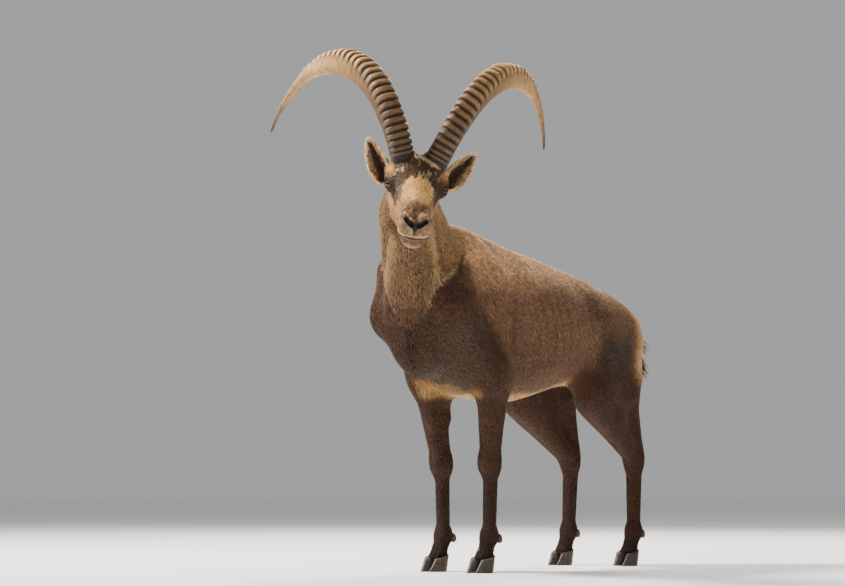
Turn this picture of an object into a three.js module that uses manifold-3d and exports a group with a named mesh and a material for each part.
// Life-size still model of an adult male alpine ibex, standing with its head turned to its left.
// Millimetres, +Z up. The animal faces -Y and its left side is +X. The withers are above x = y = 0
// while the body is laid out, and the whole group is then centred over its own footprint.
import * as THREE from 'three';
import { mergeVertices } from 'three/addons/utils/BufferGeometryUtils.js';
import Module from 'manifold-3d';

const wasm = await Module();
wasm.setup();

// Gap between nodes that meet face to face
const GAP = 0.3;
const SIDES = [['left', 1], ['right', -1]];

// Trunk stations from chest to rump: y behind the withers, back height, belly height, half width
const TRUNK_STATIONS = [
  { y: -80, top: 836, bottom: 512, half: 88 },
  { y: 0, top: 893, bottom: 474, half: 112 },
  { y: 110, top: 881, bottom: 444, half: 138 },
  { y: 250, top: 853, bottom: 438, half: 153 },
  { y: 400, top: 832, bottom: 470, half: 152 },
  { y: 530, top: 808, bottom: 505, half: 138 },
  { y: 640, top: 766, bottom: 545, half: 118 },
  { y: 730, top: 705, bottom: 590, half: 86 },
];
// The chest wall is widest below the middle of its height
const TRUNK_SHAPE = { widest: 0.44, square: 2, frontDepth: 70, rearDepth: 50 };

// Neck: crest line, core and throat line, each from the trunk to the head
const NECK_CREST = { from: [0, -10, 812], to: [80, -232, 930], r0: 46, r1: 48 };
const NECK_CORE = { from: [-14, -66, 752], to: [73, -240, 900], r0: 97, r1: 60 };
const NECK_THROAT = { from: [-6, -112, 674], to: [73, -252, 856], r0: 70, r1: 50 };
const NECK_CUT = { at: [0, -104, 745], back: [0, 0.927, -0.38] };

// Shoulder and foreleg joints on the left side
const SHOULDER_TOP = [64, 0, 812];
const SHOULDER_POINT = [98, -82, 650];
const SHOULDER_REAR = [84, 60, 745];
const ELBOW = [104, 72, 505];
const CARPUS = [78, 96, 275];
const FORE_FETLOCK = [74, 97, 92];
const FORE_TOE = [74, 66, 20];
// Radii of the shoulder blade, upper arm and the blade's rear edge, each from its first joint
const SHOULDER_RADII = { blade: [48, 53], arm: [51, 47], rear: [52, 44] };
const CHEST_FRONT = { at: [0, -92, 590], radii: [80, 62, 88] };
// The right shoulder blade stands a little forward of the left one
const RIGHT_BLADE = { from: [-103, -70, 768], to: [-98, -76, 690], radii: [48, 46] };
// Forearm muscle behind the bone, and the radii down the leg
const FOREARM_REAR = { from: [104, 98, 512], to: [84, 112, 400], radii: [26, 18] };
const FORELEG_RADII = { forearm: [45, 25], carpus: [29, 29, 36], cannon: [20, 18], fetlock: [23, 25, 25] };
const PASTERN_RADII = [20, 24];
const FORE_CUT_Z = 428;
const CARPUS_CUT_Z = 236;

// Hip and hind leg joints on the left side, and how far each hind foot stands back
const HIP = [86, 600, 640];
const STIFLE = [112, 515, 462];
const HOCK = [86, 742, 300];
const HIND_FETLOCK = [86, 738, 94];
const HIND_TOE = [86, 704, 20];
const HIND_STEP = { left: 28, right: -42 };
// Flat muscles of the thigh from front to rear: ends, the share of the step that the lower end
// takes, radii at both ends, and how far the form is squeezed across the body about a line
const THIGH_MUSCLES = [
  { from: HIP, to: [108, 540, 486], share: 0.5, radii: [100, 62], about: 90, squeeze: 0.6 },
  { from: [88, 660, 606], to: [98, 640, 470], share: 0.5, radii: [100, 66], about: 90, squeeze: 0.6 },
  { from: [76, 694, 640], to: [90, 712, 524], share: 0.4, radii: [76, 58], about: 80, squeeze: 0.8 },
];
const STIFLE_SHARE = 0.5;
const HOCK_SHARE = 0.9;
const GASKIN = { radii: [58, 28], about: 100, squeeze: 0.8 };
const TENDON = { from: [92, 690, 474], share: 0.6, above: [0, 26, 34], radii: [44, 14] };
const HINDLEG_RADII = { hock: [27, 33, 38], cannon: [23, 19], fetlock: [24, 26, 26] };
const THIGH_CUT = { at: [88, 645, 546], down: [0, 0.31, -0.95] };
const HOCK_CUT_Z = 262;

// Head: point between the eyes, turn to the left, nose-down pitch, and lean to the left, in degrees
const HEAD_AT = [168.1, -325, 937.5];
const HEAD_YAW = 40.5;
const HEAD_PITCH = 20.6;
const HEAD_ROLL = 7.4;

// Face stations in the head's own frame, from nose to cheeks: top, bottom and half width
const FACE_STATIONS = [
  { y: -160, top: -40, bottom: -90, half: 29 },
  { y: -140, top: -20, bottom: -96, half: 34 },
  { y: -105, top: 6, bottom: -94, half: 37 },
  { y: -65, top: 30, bottom: -92, half: 44 },
  { y: -30, top: 47, bottom: -92, half: 51 },
  { y: 15, top: 57, bottom: -92, half: 52 },
  { y: 60, top: 48, bottom: -80, half: 47 },
];
const FACE_SHAPE = { widest: 0.56, square: 2.5, frontDepth: 12, rearDepth: 45 };
const HEAD_CUT = { at: [0, 84, -32], back: [0, 0.93, -0.37] };
const SKULL = { dome: [[0, 42, 8], [60, 66, 54]], forehead: [[0, 0, 26], [56, 40, 38]] };
// Features on the left side of the head: ovals as centre and radii, bars as ends and end radii
const BROW = [[60, 12, 14], [17, 24, 16]];
const CHEEK = [[38, 44, -36], [31, 8, -68], 24, 21];
const JAW_BAR = [[13, -126, -92], [27, 12, -78], 13, 18];
const HORN_CORE = [[39, 32, 42], [41, 33, 62], 30, 29];
const EAR_BASE = [[60, 66, 16], [18, 20, 20]];
const NOSTRIL_WING = [[22, -154, -46], [14, 18, 15]];
const UPPER_LIP = [[18, -144, -79], [17, 25, 13]];
const CHIN = [[0, -136, -102], [22, 22, 15]];

// Eyes: ball centre and radius, gaze direction, opening half length and half height, lid thickness
const EYE_AT = [57, -2, 0];
const EYE_RADIUS = 17;
const EYE_GAZE = [0.86, -0.5, 0.06];
const EYE_OPENING = { length: 15, height: 9.5 };
const LID_THICKNESS = 4.5;

// Mouth: height of its line at the front and at the corners, and the turn in degrees from the
// front of the muzzle to each corner
const MOUTH = { front: -90, corner: -68, turn: 118, centreY: -108, depth: 5, width: 3 };
const LIP_RADIUS = 4.2;
const NOSTRIL = { at: [17.5, -171, -53], radii: [9, 12, 5], tilt: 34 };

// Horns: base on the left side, direction angles along the length, length and section sizes
const HORN_BASE = [41.5, 33.1, 62];
const HORN_RISE = { left: [100, 202.9, -58.2], right: [105.5, 202.9, -58.2] };
const HORN_SPLAY = [20.6, 40.7, -51];
const HORN_LENGTH = 801;
const HORN_ROOT = 34;
const HORN_WIDTH = [58, 55, 46, 33, 18, 5];
const HORN_DEPTH = [80, 78, 68, 46, 24, 5];
const HORN_RIDGES = 27;
const HORN_RIDGE_SPREAD = 1.3;
const HORN_RIDGE_HEIGHT = 8;
const HORN_SMOOTH_TIP = 0.25;
const HORN_TIP_RINGS = 6;
const HORN_SIDES = 10;

// Ears: length, widest width, wall thickness and cup depth, rows of each ear that lie inside the
// head, and each ear's root and direction
const EAR = { length: 112, width: 54, wall: 4, cup: 0.62 };
const EAR_ROOT_ROWS = 1;
const EAR_POSE = {
  left: { root: [69, 70, -5], along: [0.57, 0.4, 0.64], opening: [0.3, -0.95, 0.1] },
  right: { root: [65, 72, -12], along: [0.5, 0.35, 0.75], opening: [0.35, -0.93, 0] },
};

// Tail: root on the rump, bend and tip, radii, and the locks of its tuft
const TAIL = {
  path: [[0, 752, 700], [8, 802, 690], [28, 838, 646], [44, 856, 582]],
  radii: [20, 19, 16, 10],
};
const TAIL_LOCKS = { rows: 3, around: 3, length: 62, width: 24, thickness: 7 };

// Claws of each hoof: length and height, half width, spread between the two and coronet slope
const CLAW = { length: 62, height: 52, half: 15.5, split: 1.2, lean: 17 };
const CORONET = { height: 38, slope: 0.28 };
const DEWCLAW = { radii: [8, 9, 13], back: 25, up: -6, apart: 13 };

// Colours as seen on the animal
const COAT = 0x8a6a4c;
const COAT_DARK = 0x4a3020;
const COAT_FACE = 0x9a7a55;
const HORN_COLOUR = 0x8b7350;
const HOOF_COLOUR = 0x2b241e;
const EYE_COLOUR = 0x6b4217;

const radians = THREE.MathUtils.degToRad;
const vector = (p) => new THREE.Vector3(p[0], p[1], p[2]);
const mirror = (p, side) => [p[0] * side, p[1], p[2]];

// Fields: each is a function of x, y, z that is negative inside its form

/** A round limb between two points whose radius changes evenly from r0 to r1. */
function limb(from, to, r0, r1) {
  const [dx, dy, dz] = [to[0] - from[0], to[1] - from[1], to[2] - from[2]];
  const lengthSquared = dx * dx + dy * dy + dz * dz;
  return (x, y, z) => {
    const px = x - from[0];
    const py = y - from[1];
    const pz = z - from[2];
    const along = THREE.MathUtils.clamp((px * dx + py * dy + pz * dz) / lengthSquared, 0, 1);
    const qx = px - along * dx;
    const qy = py - along * dy;
    const qz = pz - along * dz;
    return Math.sqrt(qx * qx + qy * qy + qz * qz) - r0 - (r1 - r0) * along;
  };
}

/** An oval lying along the axes. */
function oval(centre, radii) {
  return (x, y, z) => {
    const ux = (x - centre[0]) / radii[0];
    const uy = (y - centre[1]) / radii[1];
    const uz = (z - centre[2]) / radii[2];
    const reach = Math.sqrt(ux * ux + uy * uy + uz * uz);
    const slope = Math.sqrt((ux / radii[0]) ** 2 + (uy / radii[1]) ** 2 + (uz / radii[2]) ** 2);
    return slope === 0 ? -Math.min(...radii) : reach * (reach - 1) / slope;
  };
}

/** Value of one station entry at y, on a smooth curve through the stations. */
function stationValue(stations, key, y) {
  const last = stations.length - 1;
  let i = 0;
  while (i < last - 1 && y > stations[i + 1].y) i += 1;
  const before = stations[Math.max(i - 1, 0)];
  const a = stations[i];
  const b = stations[i + 1];
  const after = stations[Math.min(i + 2, last)];
  const span = b.y - a.y;
  const t = THREE.MathUtils.clamp((y - a.y) / span, 0, 1);
  const slopeA = before === a ? (b[key] - a[key]) / span : (b[key] - before[key]) / (b.y - before.y);
  const slopeB = after === b ? (b[key] - a[key]) / span : (after[key] - a[key]) / (after.y - a.y);
  const t2 = t * t;
  const t3 = t2 * t;
  return (2 * t3 - 3 * t2 + 1) * a[key] + (t3 - 2 * t2 + t) * span * slopeA
    + (3 * t2 - 2 * t3) * b[key] + (t3 - t2) * span * slopeB;
}

/** A barrel along Y whose sections follow the stations, oval or squarer, rounded off at both ends. */
function barrel(stations, { widest, square, frontDepth, rearDepth }) {
  const first = stations[0].y;
  const last = stations[stations.length - 1].y;
  return (x, y, z) => {
    const at = THREE.MathUtils.clamp(y, first, last);
    const top = stationValue(stations, 'top', at);
    const bottom = stationValue(stations, 'bottom', at);
    const half = stationValue(stations, 'half', at);
    const middle = bottom + (top - bottom) * widest;
    const reachZ = z > middle ? top - middle : middle - bottom;
    const past = y < first ? (first - y) / frontDepth : Math.max(y - last, 0) / rearDepth;
    const ux = Math.abs(x / half) ** square;
    const uz = Math.abs((z - middle) / reachZ) ** square;
    const reach = Math.sqrt((ux + uz) ** (2 / square) + past * past);
    return (reach - 1) * Math.min(half, reachZ);
  };
}

/** Blend fields into one form, each joined to those before it with its own fillet. */
function blend(...parts) {
  return (x, y, z) => {
    let value = parts[0].field(x, y, z);
    for (let i = 1; i < parts.length; i += 1) {
      const next = parts[i].field(x, y, z);
      const fillet = parts[i].fillet;
      const overlap = Math.max(fillet - Math.abs(value - next), 0) / fillet;
      value = Math.min(value, next) - overlap * overlap * fillet / 4;
    }
    return value;
  };
}

/** A field squeezed across the body about a line of constant x. */
const slim = (field, centreX, share) => (x, y, z) => field(centreX + (x - centreX) / share, y, z) * share;

const soft = (field, fillet) => ({ field, fillet });
const bothSides = (field) => (x, y, z) => field(Math.abs(x), y, z);

/** A point shifted back by a share of a hind foot's step. */
const stepped = (p, side, share) => [p[0], p[1] + HIND_STEP[side] * share, p[2]];

function shoulderField() {
  return blend(
    soft(limb(SHOULDER_TOP, SHOULDER_POINT, ...SHOULDER_RADII.blade), 0),
    soft(limb(SHOULDER_POINT, ELBOW, ...SHOULDER_RADII.arm), 40),
    soft(limb(SHOULDER_REAR, ELBOW, ...SHOULDER_RADII.rear), 40),
  );
}

function forelegField() {
  return blend(
    soft(limb(ELBOW, CARPUS, ...FORELEG_RADII.forearm), 0),
    soft(limb(FOREARM_REAR.from, FOREARM_REAR.to, ...FOREARM_REAR.radii), 30),
    soft(oval([CARPUS[0], CARPUS[1] - 4, CARPUS[2] + 4], FORELEG_RADII.carpus), 20),
    soft(limb([CARPUS[0], CARPUS[1] + 2, CARPUS[2] - 20], FORE_FETLOCK, ...FORELEG_RADII.cannon), 18),
    soft(oval(FORE_FETLOCK, FORELEG_RADII.fetlock), 16),
    soft(limb(FORE_FETLOCK, FORE_TOE, ...PASTERN_RADII), 12),
  );
}

/** Thigh, gaskin, hock and cannon of one hind leg, stepped back by its own amount. */
function hindlegField(side) {
  const stifle = stepped(STIFLE, side, STIFLE_SHARE);
  const hock = stepped(HOCK, side, HOCK_SHARE);
  const hockPoint = hock.map((value, i) => value + TENDON.above[i]);
  const fetlock = stepped(HIND_FETLOCK, side, 1);
  const thigh = THIGH_MUSCLES.map(({ from, to, share, radii, about, squeeze }) => soft(
    slim(limb(from, stepped(to, side, share), ...radii), about, squeeze), 40));
  return blend(
    ...thigh,
    soft(slim(limb(stifle, hock, ...GASKIN.radii), GASKIN.about, GASKIN.squeeze), 40),
    soft(limb(stepped(TENDON.from, side, TENDON.share), hockPoint, ...TENDON.radii), 30),
    soft(oval([hock[0], hock[1] + 2, hock[2] - 4], HINDLEG_RADII.hock), 20),
    soft(limb([hock[0], hock[1] + 4, hock[2] - 30], fetlock, ...HINDLEG_RADII.cannon), 18),
    soft(oval(fetlock, HINDLEG_RADII.fetlock), 16),
    soft(limb(fetlock, stepped(HIND_TOE, side, 1), ...PASTERN_RADII), 12),
  );
}

const neckLimb = (line) => limb(line.from, line.to, line.r0, line.r1);
const neckField = blend(
  soft(neckLimb(NECK_CORE), 0),
  soft(neckLimb(NECK_CREST), 60),
  soft(neckLimb(NECK_THROAT), 60),
);

const trunkField = blend(
  soft(barrel(TRUNK_STATIONS, TRUNK_SHAPE), 0),
  soft(bothSides(shoulderField()), 50),
  soft(oval(CHEST_FRONT.at, CHEST_FRONT.radii), 50),
  soft(limb(RIGHT_BLADE.from, RIGHT_BLADE.to, ...RIGHT_BLADE.radii), 40),
  soft(neckField, 38),
);
const forelegs = bothSides(forelegField());
const hindlegs = { left: hindlegField('left'), right: hindlegField('right') };

const hindlegAt = (x, y, z) => (x > 0 ? hindlegs.left(x, y, z) : hindlegs.right(-x, y, z));

/** The whole body without the head. */
const bodyField = blend(soft(trunkField, 0), soft(forelegs, 36), soft(hindlegAt, 60));

// The head's own frame
const headBasis = (() => {
  const yaw = radians(HEAD_YAW);
  const pitch = radians(HEAD_PITCH);
  const forward = new THREE.Vector3(
    Math.sin(yaw) * Math.cos(pitch), -Math.cos(yaw) * Math.cos(pitch), -Math.sin(pitch));
  const left = new THREE.Vector3(Math.cos(yaw), Math.sin(yaw), 0);
  const back = forward.clone().negate();
  left.applyAxisAngle(forward, -radians(HEAD_ROLL));
  const up = new THREE.Vector3().crossVectors(left, back);
  return new THREE.Matrix4().makeBasis(left, back, up).setPosition(vector(HEAD_AT));
})();
const headToBody = headBasis.elements;

const headField = (() => {
  const skull = blend(
    soft(barrel(FACE_STATIONS, FACE_SHAPE), 0),
    soft(oval(...SKULL.dome), 30),
    soft(oval(...SKULL.forehead), 30),
  );
  const sides = bothSides(blend(
    soft(oval(EYE_AT, Array(3).fill(EYE_RADIUS + LID_THICKNESS)), 0),
    soft(oval(...BROW), 14),
    soft(limb(...CHEEK), 20),
    soft(limb(...JAW_BAR), 20),
    soft(limb(...HORN_CORE), 16),
    soft(oval(...EAR_BASE), 16),
    soft(oval(...NOSTRIL_WING), 14),
    soft(oval(...UPPER_LIP), 14),
  ));
  const neckHere = (x, y, z) => {
    const m = headToBody;
    return neckField(
      m[0] * x + m[4] * y + m[8] * z + m[12],
      m[1] * x + m[5] * y + m[9] * z + m[13],
      m[2] * x + m[6] * y + m[10] * z + m[14],
    );
  };
  return blend(soft(skull, 0), soft(sides, 18), soft(oval(...CHIN), 12), soft(neckHere, 24));
})();

// Surfaces: rings of rays that stop where a field turns positive
const RAY_STEP = 4;
const RAY_LIMIT = 400;
const RAY_HALVINGS = 14;

/** The point where a ray from inside a field leaves it. */
function rayOut(field, origin, direction) {
  const value = (t) => field(
    origin.x + direction.x * t, origin.y + direction.y * t, origin.z + direction.z * t);
  let far = RAY_STEP;
  while (value(far) < 0 && far < RAY_LIMIT) far += RAY_STEP;
  let near = far - RAY_STEP;
  for (let i = 0; i < RAY_HALVINGS; i += 1) {
    const middle = (near + far) / 2;
    if (value(middle) < 0) near = middle;
    else far = middle;
  }
  return origin.clone().addScaledVector(direction, near);
}

/** Unit directions across and up in the plane of a normal. */
function planeAxes(normal, upright) {
  const up = upright.clone().addScaledVector(normal, -upright.dot(normal)).normalize();
  return { up, across: new THREE.Vector3().crossVectors(up, normal) };
}

/** One ring of surface points in the plane of a normal, leaning towards the normal by a tilt. */
function ring(field, origin, normal, upright, angles, tilt = 0) {
  const { up, across } = planeAxes(normal, upright);
  return angles.map((angle) => {
    const direction = up.clone().multiplyScalar(Math.cos(angle))
      .addScaledVector(across, Math.sin(angle)).multiplyScalar(Math.cos(tilt))
      .addScaledVector(normal, Math.sin(tilt));
    return rayOut(field, origin, direction);
  });
}

/** A closed solid from rings of points with a point at each end. */
function loft(rings, firstPole, lastPole) {
  const sides = rings[0].length;
  const points = [...rings.flat(), firstPole, lastPole];
  const triangles = [];
  const at = (row, column) => row * sides + (column % sides);
  const first = rings.length * sides;
  for (let column = 0; column < sides; column += 1) {
    triangles.push([first, at(0, column + 1), at(0, column)]);
    for (let row = 0; row < rings.length - 1; row += 1) {
      triangles.push([at(row, column), at(row, column + 1), at(row + 1, column + 1)]);
      triangles.push([at(row, column), at(row + 1, column + 1), at(row + 1, column)]);
    }
    triangles.push([first + 1, at(rings.length - 1, column), at(rings.length - 1, column + 1)]);
  }
  return solidOf(points, triangles);
}

/** A manifold from points and triangles, turned so that its faces point out. */
function solidOf(points, triangles) {
  let volume = 0;
  for (const [a, b, c] of triangles) {
    volume += points[a].dot(new THREE.Vector3().crossVectors(points[b], points[c]));
  }
  const faces = volume < 0 ? triangles.map(([a, b, c]) => [a, c, b]) : triangles;
  return new wasm.Manifold(new wasm.Mesh({
    numProp: 3,
    vertProperties: new Float32Array(points.flatMap((p) => [p.x, p.y, p.z])),
    triVerts: new Uint32Array(faces.flat()),
  }));
}

/** A manifold from a closed three.js geometry placed by a matrix. */
function solidFrom(geometry, matrix = new THREE.Matrix4()) {
  const bare = geometry.clone().applyMatrix4(matrix);
  bare.deleteAttribute('normal');
  bare.deleteAttribute('uv');
  const merged = mergeVertices(bare);
  return new wasm.Manifold(new wasm.Mesh({
    numProp: 3,
    vertProperties: merged.attributes.position.array,
    triVerts: new Uint32Array(merged.index.array),
  }));
}

/** The mean of a ring's points. */
function middleOf(points) {
  return points.reduce((sum, p) => sum.add(p), new THREE.Vector3()).divideScalar(points.length);
}

/** The largest closed surface of a solid. */
function largest(solid) {
  const volumes = solid.decompose().sort((a, b) => b.volume() - a.volume());
  return volumes[0];
}

function evenAngles(count) {
  return Array.from({ length: count }, (_, i) => 2 * Math.PI * i / count);
}

/**
 * A form wrapped along an axis. Each stop has a point and a ring normal, the rings between stops
 * are spread evenly, and each end is a flat face or is rounded off by rings that lean outwards.
 */
function wrap(field, { stops, counts, angles, upright, flatStart = true, flatEnd = true, capRows = 5 }) {
  const rings = [];
  const firstNormal = vector(stops[0].normal).normalize();
  const lastStop = stops[stops.length - 1];
  const lastNormal = vector(lastStop.normal).normalize();
  const first = vector(stops[0].at);
  const last = vector(lastStop.at);
  const lean = (row) => Math.PI / 2 * row / capRows;
  for (let row = capRows - 1; row > 0 && !flatStart; row -= 1) {
    rings.push(ring(field, first, firstNormal, upright, angles, -lean(row)));
  }
  for (let i = 0; i < stops.length - 1; i += 1) {
    const start = vector(stops[i].at);
    const end = vector(stops[i + 1].at);
    const startNormal = vector(stops[i].normal).normalize();
    const endNormal = vector(stops[i + 1].normal).normalize();
    for (let k = 0; k < counts[i]; k += 1) {
      const t = k / counts[i];
      const normal = startNormal.clone().lerp(endNormal, t).normalize();
      rings.push(ring(field, start.clone().lerp(end, t), normal, upright, angles));
    }
  }
  rings.push(ring(field, last, lastNormal, upright, angles));
  for (let row = 1; row < capRows && !flatEnd; row += 1) {
    rings.push(ring(field, last, lastNormal, upright, angles, lean(row)));
  }
  const firstPole = flatStart ? first : rayOut(field, first, firstNormal.clone().negate());
  const lastPole = flatEnd ? last : rayOut(field, last, lastNormal);
  return loft(rings, firstPole, lastPole);
}

/** Keep what lies on the side of a plane that its normal points away from. */
function trimmed(solid, at, normal) {
  const size = 2000;
  const facing = new THREE.Quaternion().setFromUnitVectors(new THREE.Vector3(0, 0, 1), normal);
  const centre = at.clone().addScaledVector(normal, size / 2);
  const matrix = new THREE.Matrix4().compose(centre, facing, new THREE.Vector3(1, 1, 1));
  return solid.subtract(solidFrom(new THREE.BoxGeometry(size, size, size), matrix));
}

const ibex = new THREE.Group();
const head = new THREE.Group();
head.applyMatrix4(headBasis);
ibex.add(head);

function material(colour, roughness) {
  return new THREE.MeshStandardMaterial({ color: colour, roughness, metalness: 0 });
}

/** Add a solid to a group as a named mesh. */
function addNode(group, name, solid, look) {
  const { vertProperties, triVerts } = largest(solid).getMesh();
  const geometry = new THREE.BufferGeometry();
  geometry.setAttribute('position', new THREE.BufferAttribute(new Float32Array(vertProperties), 3));
  geometry.setIndex(new THREE.BufferAttribute(new Uint32Array(triVerts), 1));
  geometry.computeVertexNormals();
  const mesh = new THREE.Mesh(geometry, look);
  mesh.name = name;
  group.add(mesh);
}

/** A plane's point moved along its normal. */
const shifted = (at, normal, distance) => at.map((value, i) => value + normal[i] * distance);

// Torso
const Z_AXIS = new THREE.Vector3(0, 0, 1);
const Y_AXIS = new THREE.Vector3(0, 1, 0);

/** Angles round the trunk, closer together where the legs leave it. */
function trunkAngles() {
  const angles = [];
  const half = 19;
  for (let i = 0; i < half * 2; i += 1) {
    const even = Math.PI * i / half;
    angles.push(even - 0.16 * Math.sin(2 * even));
  }
  return angles;
}

/** The body above the leg cuts, with a little of each leg left on for trimming. */
function torsoField(x, y, z) {
  const spare = 14;
  const thigh = (y - THIGH_CUT.at[1]) * THIGH_CUT.down[1] + (z - THIGH_CUT.at[2]) * THIGH_CUT.down[2];
  const low = y < 330 ? FORE_CUT_Z - spare - z : thigh - spare;
  return Math.max(bodyField(x, y, z), low);
}

function makeTorso() {
  const front = shifted(NECK_CUT.at, NECK_CUT.back, GAP / 2);
  const whole = wrap(torsoField, {
    stops: [
      { at: front, normal: NECK_CUT.back },
      { at: [0, -20, 715], normal: [0, 0.97, -0.2] },
      { at: [0, 60, 690], normal: [0, 1, -0.08] },
      { at: [0, 150, 685], normal: [0, 1, -0.1] },
      { at: [0, 450, 665], normal: [0, 1, -0.15] },
      { at: [0, 700, 665], normal: [0, 1, -0.15] },
    ],
    counts: [4, 5, 5, 7, 7],
    angles: trunkAngles(),
    upright: Z_AXIS,
    flatEnd: false,
    capRows: 6,
  });
  const forelegCut = new THREE.Vector3(0, 0, FORE_CUT_Z + GAP / 2);
  const thighNormal = vector(THIGH_CUT.down).normalize();
  const thighAt = vector(THIGH_CUT.at).addScaledVector(thighNormal, -GAP / 2);
  const aboveForelegs = trimmed(whole, forelegCut, Z_AXIS.clone().negate());
  return trimmed(aboveForelegs, thighAt, thighNormal);
}

function makeNeck() {
  const start = shifted(NECK_CUT.at, NECK_CUT.back, -GAP / 2);
  const startNormal = NECK_CUT.back.map((value) => -value);
  const endNormal = vector(HEAD_CUT.back).transformDirection(headBasis).negate();
  const end = vector(shifted(HEAD_CUT.at, HEAD_CUT.back, GAP / 2)).applyMatrix4(headBasis);
  const m = new THREE.Matrix4().copy(headBasis).invert().elements;
  const whole = (x, y, z) => {
    const hx = m[0] * x + m[4] * y + m[8] * z + m[12];
    const hy = m[1] * x + m[5] * y + m[9] * z + m[13];
    const hz = m[2] * x + m[6] * y + m[10] * z + m[14];
    return Math.min(headField(hx, hy, hz), bodyField(x, y, z));
  };
  return wrap(whole, {
    stops: [
      { at: start, normal: startNormal },
      { at: end.toArray(), normal: endNormal.toArray() },
    ],
    counts: [11],
    angles: evenAngles(30),
    upright: Z_AXIS,
  });
}

// Legs: the upper and lower part of each, between level or sloping cuts
function makeForelegs(name, side) {
  const angles = evenAngles(16);
  const field = (x, y, z) => bodyField(x, y, z);
  const place = (p) => mirror(p, side);
  const top = place([95, 80, FORE_CUT_Z - GAP / 2]);
  const middle = place([CARPUS[0], CARPUS[1], CARPUS_CUT_Z]);
  const down = [0, 0, -1];
  const upper = wrap(field, {
    stops: [
      { at: top, normal: down },
      { at: place([CARPUS[0] + 1, CARPUS[1], CARPUS[2] + 30]), normal: down },
      { at: shifted(middle, down, -GAP / 2), normal: down },
    ],
    counts: [5, 5],
    angles,
    upright: Y_AXIS,
  });
  addNode(ibex, `foreleg_upper_${name}`, upper, material(COAT_DARK, 0.9));
  const fetlock = place(FORE_FETLOCK);
  const toe = place(FORE_TOE);
  const lower = wrap(field, lowerLegPath(shifted(middle, down, GAP / 2), fetlock, toe));
  addNode(ibex, `foreleg_lower_${name}`, withDewclaws(lower, fetlock), material(COAT_DARK, 0.9));
  makeHoof(`fore_${name}`, toe);
}

/** The coronet plane of a foot: it slopes down to the heel. */
function coronetPlane(toe) {
  const normal = new THREE.Vector3(0, CORONET.slope, -1).normalize();
  const at = new THREE.Vector3(toe[0], toe[1] + 6, CORONET.height);
  return { at, normal };
}

/** Stops down a cannon, over the fetlock and along the pastern to the coronet. */
function lowerLegPath(top, fetlock, toe) {
  const down = [0, 0, -1];
  const coronet = coronetPlane(toe);
  const end = coronet.at.clone().addScaledVector(coronet.normal, -GAP / 2);
  return {
    stops: [
      { at: top, normal: down },
      { at: [fetlock[0], fetlock[1], fetlock[2] + 30], normal: down },
      { at: [fetlock[0], fetlock[1] - 4, fetlock[2] - 8], normal: [0, -0.25, -1] },
      { at: end.toArray(), normal: coronet.normal.toArray() },
    ],
    counts: [4, 4, 3],
    angles: evenAngles(14),
    upright: Y_AXIS,
  };
}

/** Two small claws behind the fetlock, fused with the leg. */
function withDewclaws(leg, fetlock) {
  let whole = leg;
  for (const sign of [-1, 1]) {
    const at = [fetlock[0] + sign * DEWCLAW.apart, fetlock[1] + DEWCLAW.back, fetlock[2] + DEWCLAW.up];
    const matrix = new THREE.Matrix4().makeTranslation(at[0], at[1], at[2])
      .multiply(new THREE.Matrix4().makeRotationX(radians(20)))
      .multiply(new THREE.Matrix4().makeScale(...DEWCLAW.radii));
    whole = whole.add(solidFrom(new THREE.SphereGeometry(1, 6, 4), matrix));
  }
  return whole;
}

/** One claw of a hoof: a pointed wall that leans forward over a flat sole, cut at the coronet. */
function claw(toe, sign) {
  const rows = 3;
  const sides = 12;
  const rings = [];
  for (let row = 0; row <= rows; row += 1) {
    const rise = row / rows;
    const length = CLAW.length * (1 - 0.22 * rise);
    const half = CLAW.half * (1 - 0.06 * rise);
    const inner = CLAW.split + GAP / 2;
    const centreY = toe[1] - 16 + CLAW.lean * rise;
    rings.push(evenAngles(sides).map((angle) => {
      const front = Math.cos(angle);
      const across = Math.sin(angle);
      const point = front > 0 ? 0.62 * front * front : 0;
      const wide = half * across * (1 - point);
      const x = inner + half + wide + (across < 0 ? 0 : 2) - 5 * Math.max(front, 0) * (1 - rise);
      return new THREE.Vector3(
        toe[0] + sign * Math.max(x, inner), centreY - length / 2 * front, CLAW.height * rise);
    }));
  }
  const wall = loft(rings, middleOf(rings[0]), middleOf(rings[rows]));
  const coronet = coronetPlane(toe);
  return trimmed(wall, coronet.at.addScaledVector(coronet.normal, GAP / 2), coronet.normal.negate());
}

/** The two claws of a hoof, the outer one away from the middle of the body. */
function makeHoof(name, toe) {
  const outward = Math.sign(toe[0]);
  addNode(ibex, `claw_outer_${name}`, claw(toe, outward), material(HOOF_COLOUR, 0.55));
  addNode(ibex, `claw_inner_${name}`, claw(toe, -outward), material(HOOF_COLOUR, 0.55));
}

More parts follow.
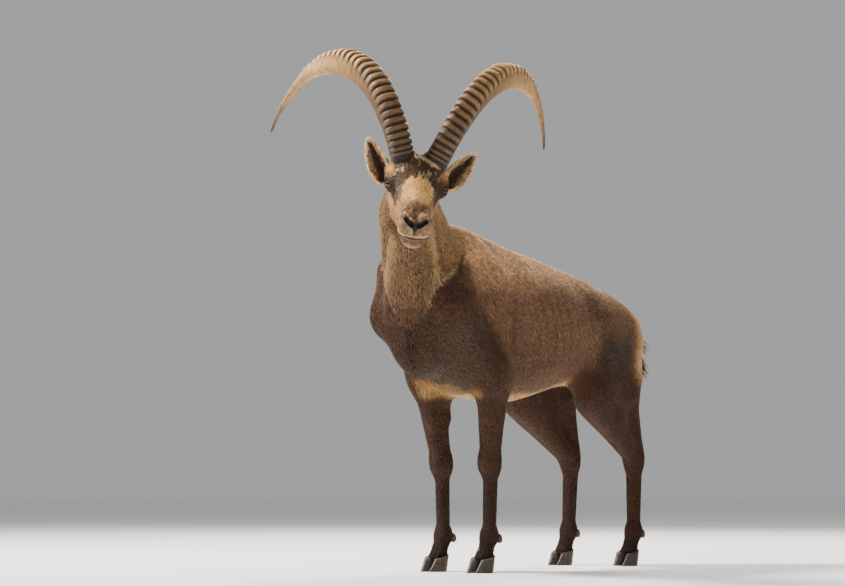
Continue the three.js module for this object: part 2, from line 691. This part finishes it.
function makeHindlegs(name, side) {
  const field = (x, y, z) => (x * side < 1.5 ? 1 : bodyField(x, y, z));
  const place = (p, share = 1) => mirror(stepped(p, name, share), side);
  const thighNormal = vector(THIGH_CUT.down).normalize();
  const top = vector(mirror(THIGH_CUT.at, side)).addScaledVector(thighNormal, GAP / 2);
  const down = [0, 0, -1];
  const cut = place([HOCK[0], HOCK[1] + 2, HOCK_CUT_Z]);
  const upper = wrap(field, {
    stops: [
      { at: top.toArray(), normal: THIGH_CUT.down },
      { at: place([104, 625, 440], 0.6), normal: [0, 0.35, -1] },
      { at: place([HOCK[0], HOCK[1] - 6, HOCK[2] + 34]), normal: [0, 0.2, -1] },
      { at: shifted(cut, down, -GAP / 2), normal: down },
    ],
    counts: [5, 6, 4],
    angles: evenAngles(22),
    upright: Y_AXIS,
  });
  addNode(ibex, `hindleg_upper_${name}`, upper, material(COAT_DARK, 0.9));
  const fetlock = place(HIND_FETLOCK);
  const toe = place(HIND_TOE);
  const lower = wrap(field, lowerLegPath(shifted(cut, down, GAP / 2), fetlock, toe));
  addNode(ibex, `hindleg_lower_${name}`, withDewclaws(lower, fetlock), material(COAT_DARK, 0.9));
  makeHoof(`hind_${name}`, toe);
}

// Head: the form without its openings, and a copy grown by the gap to trim what sits on it
const FACE_AXIS = { brow: [0, 10, -28], nose: [0, -142, -58] };

function headForm(grow) {
  const field = (x, y, z) => headField(x, y, z) - grow;
  const cut = shifted(HEAD_CUT.at, HEAD_CUT.back, -GAP / 2);
  return wrap(field, {
    stops: [
      { at: cut, normal: HEAD_CUT.back.map((value) => -value) },
      { at: FACE_AXIS.brow, normal: [0, -0.98, 0.02] },
      { at: FACE_AXIS.nose, normal: [0, -0.98, -0.19] },
    ],
    counts: [8, 14],
    angles: evenAngles(33),
    upright: Z_AXIS,
    flatEnd: false,
    capRows: 5,
  });
}

/** An almond-shaped opening that widens outwards along the gaze. */
function eyeOpening(side) {
  const gaze = vector(mirror(EYE_GAZE, side)).normalize();
  const { up, across } = planeAxes(gaze, Z_AXIS);
  const centre = vector(mirror(EYE_AT, side));
  const depths = [4, EYE_RADIUS, EYE_RADIUS + LID_THICKNESS + 8];
  const spreads = [0.9, 1, 1.25];
  const rings = depths.map((depth, i) => evenAngles(14).map((angle) => {
    const along = Math.cos(angle) * EYE_OPENING.length;
    const lift = Math.sin(angle) * EYE_OPENING.height * (1 - 0.25 * Math.cos(angle) ** 2);
    return centre.clone().addScaledVector(gaze, depth)
      .addScaledVector(across, along * spreads[i]).addScaledVector(up, lift * spreads[i]);
  }));
  const pole = (i) => centre.clone().addScaledVector(gaze, depths[i]);
  return loft(rings, pole(0), pole(2));
}

/** A ball for one eye, larger by a margin. */
function eyeBall(side, margin, columns, rows) {
  const at = mirror(EYE_AT, side);
  const matrix = new THREE.Matrix4().makeTranslation(at[0], at[1], at[2]);
  return solidFrom(new THREE.SphereGeometry(EYE_RADIUS + margin, columns, rows), matrix);
}

/** Points on the muzzle's surface along the line of the mouth, corner to corner. */
function mouthPath(lift) {
  const count = 12;
  const points = [];
  for (let i = 0; i <= count; i += 1) {
    const turn = radians(MOUTH.turn * (2 * i / count - 1));
    const side = Math.abs(turn) / radians(MOUTH.turn);
    const height = MOUTH.front + (MOUTH.corner - MOUTH.front) * side ** 1.4 + lift;
    const origin = new THREE.Vector3(0, MOUTH.centreY + 6 * side, height);
    const direction = new THREE.Vector3(Math.sin(turn), -Math.cos(turn), 0);
    const reach = 1 + 0.9 * Math.max(Math.cos(turn), 0);
    const at = rayOut(headField, origin, direction.multiply(new THREE.Vector3(1, reach, 1)).normalize());
    points.push({ at, out: direction.normalize() });
  }
  return points;
}

/** A bar along a path on the surface: its section is a diamond that tapers to both ends. */
function bar(points, inward, outward, half) {
  const last = points.length - 1;
  const rings = points.map(({ at, out }, i) => {
    const taper = Math.sin(Math.PI * Math.min(Math.max(i / last, 0.04), 0.96)) ** 0.4;
    return [[outward, 0], [0, half * taper], [-inward * taper, 0], [0, -half * taper]]
      .map(([along, rise]) => at.clone().addScaledVector(out, along).add(new THREE.Vector3(0, 0, rise)));
  });
  return loft(rings, middleOf(rings[0]), middleOf(rings[last]));
}

function nostril(side) {
  const at = mirror(NOSTRIL.at, side);
  const matrix = new THREE.Matrix4().makeTranslation(at[0], at[1], at[2])
    .multiply(new THREE.Matrix4().makeRotationY(radians(-NOSTRIL.tilt * side)))
    .multiply(new THREE.Matrix4().makeScale(...NOSTRIL.radii));
  return solidFrom(new THREE.SphereGeometry(1, 9, 6), matrix);
}

function makeHead() {
  let solid = headForm(0);
  const upperLip = bar(mouthPath(LIP_RADIUS), LIP_RADIUS * 1.6, 2, LIP_RADIUS);
  const lowerLip = bar(mouthPath(-LIP_RADIUS), LIP_RADIUS * 1.6, 1, LIP_RADIUS);
  solid = solid.add(upperLip).add(lowerLip);
  solid = solid.subtract(bar(mouthPath(0), MOUTH.depth, MOUTH.depth, MOUTH.width / 2));
  for (const [, side] of SIDES) {
    solid = solid.subtract(eyeOpening(side));
    solid = solid.subtract(eyeBall(side, GAP, 12, 8));
    solid = solid.subtract(nostril(side));
  }
  addNode(head, 'head', solid, material(COAT_FACE, 0.9));
}

function makeEyes() {
  for (const [name, side] of SIDES) {
    addNode(head, `eye_${name}`, eyeBall(side, 0, 12, 8), material(EYE_COLOUR, 0.15));
  }
}

/** Direction angles of a horn at a share of its length. */
function hornAngles(rise, s) {
  return {
    a: radians(rise[0] + rise[1] * s + rise[2] * s * s),
    b: radians(HORN_SPLAY[0] + HORN_SPLAY[1] * s + HORN_SPLAY[2] * s * s),
  };
}

/** Stations along a horn's axis, with the direction of its front and of its outer side. */
function hornStations(name, side, shares) {
  const rise = HORN_RISE[name];
  const at = vector(mirror(HORN_BASE, side));
  let before = 0;
  return shares.map((share) => {
    const steps = 12;
    for (let i = 0; i < steps; i += 1) {
      const { a, b } = hornAngles(rise, Math.max(before + (share - before) * (i + 0.5) / steps, 0));
      const tangent = new THREE.Vector3(
        side * Math.sin(b), -Math.cos(b) * Math.cos(a), Math.cos(b) * Math.sin(a));
      at.addScaledVector(tangent, HORN_LENGTH * (share - before) / steps);
    }
    before = share;
    const { a, b } = hornAngles(rise, Math.max(share, 0));
    const front = new THREE.Vector3(0, -Math.sin(a), -Math.cos(a));
    const outer = new THREE.Vector3(
      side * Math.cos(b), Math.sin(b) * Math.cos(a), -Math.sin(b) * Math.sin(a));
    return { at: at.clone(), front, outer };
  });
}

/** A size read from an even list along a length. */
function sizeAlong(list, s) {
  const place = THREE.MathUtils.clamp(s, 0, 1) * (list.length - 1);
  const i = Math.min(Math.floor(place), list.length - 2);
  return list[i] + (list[i + 1] - list[i]) * (place - i);
}

/** Where a ridge starts, as a share of the horn's length: close at the base, then wider apart. */
const ridgeStart = (i) => (1 - HORN_SMOOTH_TIP) * (i / HORN_RIDGES) ** HORN_RIDGE_SPREAD;

/** Shares of a horn's length where rings lie: three to each ridge, then even steps to the tip. */
function hornShares() {
  const shares = [{ share: -HORN_ROOT / HORN_LENGTH, crest: false }];
  const ridged = 1 - HORN_SMOOTH_TIP;
  for (let i = 0; i < HORN_RIDGES; i += 1) {
    const [start, end] = [ridgeStart(i), ridgeStart(i + 1)];
    for (const part of [0.12, 0.38, 0.78]) {
      shares.push({ share: start + (end - start) * part, crest: part > 0.2 });
    }
  }
  for (let i = 0; i < HORN_TIP_RINGS; i += 1) {
    shares.push({ share: ridged + HORN_SMOOTH_TIP * (i + 0.5) / (HORN_TIP_RINGS + 0.2), crest: false });
  }
  return shares;
}

/** How far a ridge stands out: low at the base and past the bend, bold between. */
function ridgeHeight(share) {
  return HORN_RIDGE_HEIGHT * (0.25 + 0.75 * Math.sin(Math.PI * Math.min(share / 0.75, 1)) ** 0.8);
}

/** Horn section: a broad flat front, flat sides and a narrower rounded back. */
function hornSection(angle, width, depth, bump) {
  const front = Math.cos(angle);
  const side = Math.sin(angle);
  const squared = (value, power) => Math.sign(value) * Math.abs(value) ** power;
  const narrow = front < 0 ? 1 - 0.28 * front * front : 1;
  const wrapShare = THREE.MathUtils.smoothstep(front, -0.1, 0.5);
  return {
    front: squared(front, front > 0 ? 0.55 : 0.9) * depth / 2 + bump * wrapShare * Math.max(front, 0) ** 0.4,
    outer: squared(side, 0.8) * narrow * width / 2 + Math.sign(side) * bump * 0.45 * wrapShare,
  };
}

function hornForm(name, side) {
  const shares = hornShares();
  const stations = hornStations(name, side, shares.map(({ share }) => share));
  const angles = evenAngles(HORN_SIDES).map((angle) => angle + Math.PI / HORN_SIDES);
  const rings = stations.map(({ at, front, outer }, i) => {
    const { share, crest } = shares[i];
    const bump = crest ? ridgeHeight(share) : 0;
    return angles.map((angle) => {
      const section = hornSection(
        angle, sizeAlong(HORN_WIDTH, share), sizeAlong(HORN_DEPTH, share), bump);
      return at.clone().addScaledVector(front, section.front).addScaledVector(outer, section.outer);
    });
  });
  const [tip] = hornStations(name, side, [1]);
  return loft(rings, stations[0].at, tip.at);
}

/** A cupped leaf: thin sections that curl round the ear's hollow, narrowing to root and tip. */
function earForm(name, side) {
  const pose = EAR_POSE[name];
  const along = vector(mirror(pose.along, side)).normalize();
  const facing = vector(mirror(pose.opening, side));
  const { up: opening, across } = planeAxes(along, facing);
  const root = vector(mirror(pose.root, side));
  const rows = 9;
  const columns = 6;
  const rings = [];
  for (let row = -EAR_ROOT_ROWS; row <= rows; row += 1) {
    const t = row / (rows + 0.6);
    const wide = EAR.width / 2 * Math.sin(Math.PI * (0.2 + 0.8 * t) ** 0.9) ** 0.8 + 1.5;
    const half = Math.max(wide, 3);
    const curl = THREE.MathUtils.lerp(2.5, 1.1, Math.min(t * 1.6, 1));
    const radius = half / Math.sin(Math.min(curl, Math.PI / 2));
    const wall = THREE.MathUtils.lerp(EAR.wall, 2, t);
    const centre = root.clone().addScaledVector(along, EAR.length * t);
    const arc = (r, reverse) => Array.from({ length: columns }, (_, i) => {
      const share = reverse ? 1 - i / (columns - 1) : i / (columns - 1);
      const turn = -curl + 2 * curl * share;
      return centre.clone().addScaledVector(across, Math.sin(turn) * r)
        .addScaledVector(opening, radius * EAR.cup - Math.cos(turn) * r * EAR.cup);
    });
    rings.push([...arc(radius, false), ...arc(radius - wall, true)]);
  }
  const middle = (points) => points[2].clone().lerp(points[columns * 2 - 3], 0.5);
  return loft(rings, middle(rings[0]), middle(rings[rings.length - 1]));
}

function makeHornsAndEars() {
  const seat = headForm(GAP);
  for (const [name, side] of SIDES) {
    addNode(head, `horn_${name}`, hornForm(name, side).subtract(seat), material(HORN_COLOUR, 0.7));
    addNode(head, `ear_${name}`, earForm(name, side).subtract(seat), material(COAT_FACE, 0.9));
  }
}

// Tail
function tailField() {
  const { path, radii } = TAIL;
  return blend(...path.slice(1).map((to, i) => soft(limb(path[i], to, radii[i], radii[i + 1]), 12)));
}

function makeTail(torso) {
  const { path } = TAIL;
  const normal = (i) => vector(path[i + 1]).sub(vector(path[i])).toArray();
  const core = wrap(tailField(), {
    stops: [
      { at: path[0], normal: normal(0) },
      { at: path[1], normal: [0.1, 0.75, -0.65] },
      { at: path[2], normal: [0.15, 0.3, -1] },
      { at: path[3], normal: normal(2) },
    ],
    counts: [2, 2, 2],
    angles: evenAngles(10),
    upright: Y_AXIS,
    flatEnd: false,
    capRows: 3,
  });
  const whole = tailLocks().reduce((sum, lock) => sum.add(lock), core);
  addNode(ibex, 'tail', whole.subtract(torso), material(COAT_DARK, 0.95));
}

/** Flat tapered locks that hang from the tail and close it to a point. */
function tailLocks() {
  const locks = [];
  const curve = new THREE.CatmullRomCurve3(TAIL.path.map(vector));
  for (let row = 0; row < TAIL_LOCKS.rows; row += 1) {
    const t = 0.5 + 0.46 * row / (TAIL_LOCKS.rows - 1);
    const centre = curve.getPoint(t);
    const along = curve.getTangent(t);
    const { up, across } = planeAxes(along, Y_AXIS);
    for (let i = 0; i < TAIL_LOCKS.around; i += 1) {
      const turn = 2 * Math.PI * (i + 0.5 * (row % 2)) / TAIL_LOCKS.around;
      const out = up.clone().multiplyScalar(Math.cos(turn)).addScaledVector(across, Math.sin(turn));
      locks.push(lock(centre.clone().addScaledVector(out, 6), along, out));
    }
  }
  return locks;
}

/** One flat lock: diamond sections that lean out, then draw in to a point. */
function lock(root, along, out) {
  const wide = new THREE.Vector3().crossVectors(along, out).normalize();
  const { length, width, thickness } = TAIL_LOCKS;
  const rings = [0, 0.4, 0.85].map((t) => {
    const size = Math.max(1 - t * t, 0.12);
    const centre = root.clone().addScaledVector(along, length * t)
      .addScaledVector(out, 9 * Math.sin(Math.PI * t * 0.7));
    return [[1, 0], [0, 1], [-1, 0], [0, -1]].map(([a, b]) => centre.clone()
      .addScaledVector(wide, a * width / 2 * size).addScaledVector(out, b * thickness / 2 * size));
  });
  const tip = root.clone().addScaledVector(along, length).addScaledVector(out, 7);
  return loft(rings, root, tip);
}

const torso = makeTorso();
addNode(ibex, 'torso', torso, material(COAT, 0.9));
addNode(ibex, 'neck', makeNeck(), material(COAT, 0.9));
makeHead();
makeEyes();
makeHornsAndEars();
makeTail(torso);
for (const [name, side] of SIDES) {
  makeForelegs(name, side);
  makeHindlegs(name, side);
}

// Stand the group on the floor, centred over its own box
ibex.updateMatrixWorld(true);
const box = new THREE.Box3().setFromObject(ibex, true);
ibex.position.set(-(box.min.x + box.max.x) / 2, -(box.min.y + box.max.y) / 2, -box.min.z);

export default ibex;
